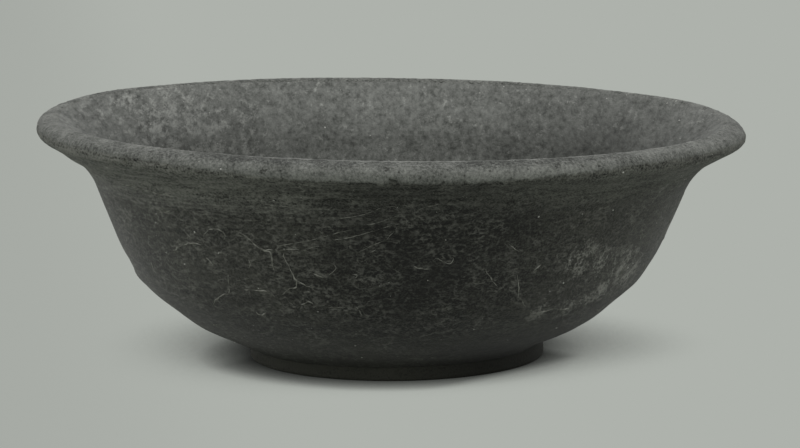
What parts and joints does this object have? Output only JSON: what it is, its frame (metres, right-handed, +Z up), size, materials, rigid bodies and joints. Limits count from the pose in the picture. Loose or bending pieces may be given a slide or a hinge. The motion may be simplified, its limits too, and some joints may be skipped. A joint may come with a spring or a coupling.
{
  "type": "shallow bowl",
  "caption": "Shallow wheel-made earthenware bowl with a rolled lip, a shoulder break and a low ring foot, for holding food or small things.",
  "frame": {"origin": "on the surface that the foot stands on, under the middle of the rim", "axes": "+Z up out of the bowl's mouth, +X towards the side that the bowl leans to, -Y towards the pictured side"},
  "size_m": [0.18, 0.18, 0.0634],
  "materials": {
    "lip_clay": "dark-fired clay, slip worn off and granular",
    "wall_clay": "dark-fired clay, smoothed slip with scratches and pale root marks",
    "foot_clay": "dark-fired clay, scraped and worn at the edge",
    "lime_crust": "thin pale lime left by roots and soil"
  },
  "bodies": {
    "root": {"foot_ring": "foot_clay", "base_disc": "wall_clay", "lower_wall": "wall_clay", "upper_wall": "wall_clay", "rim": "lip_clay"}
  },
  "joints": []
}
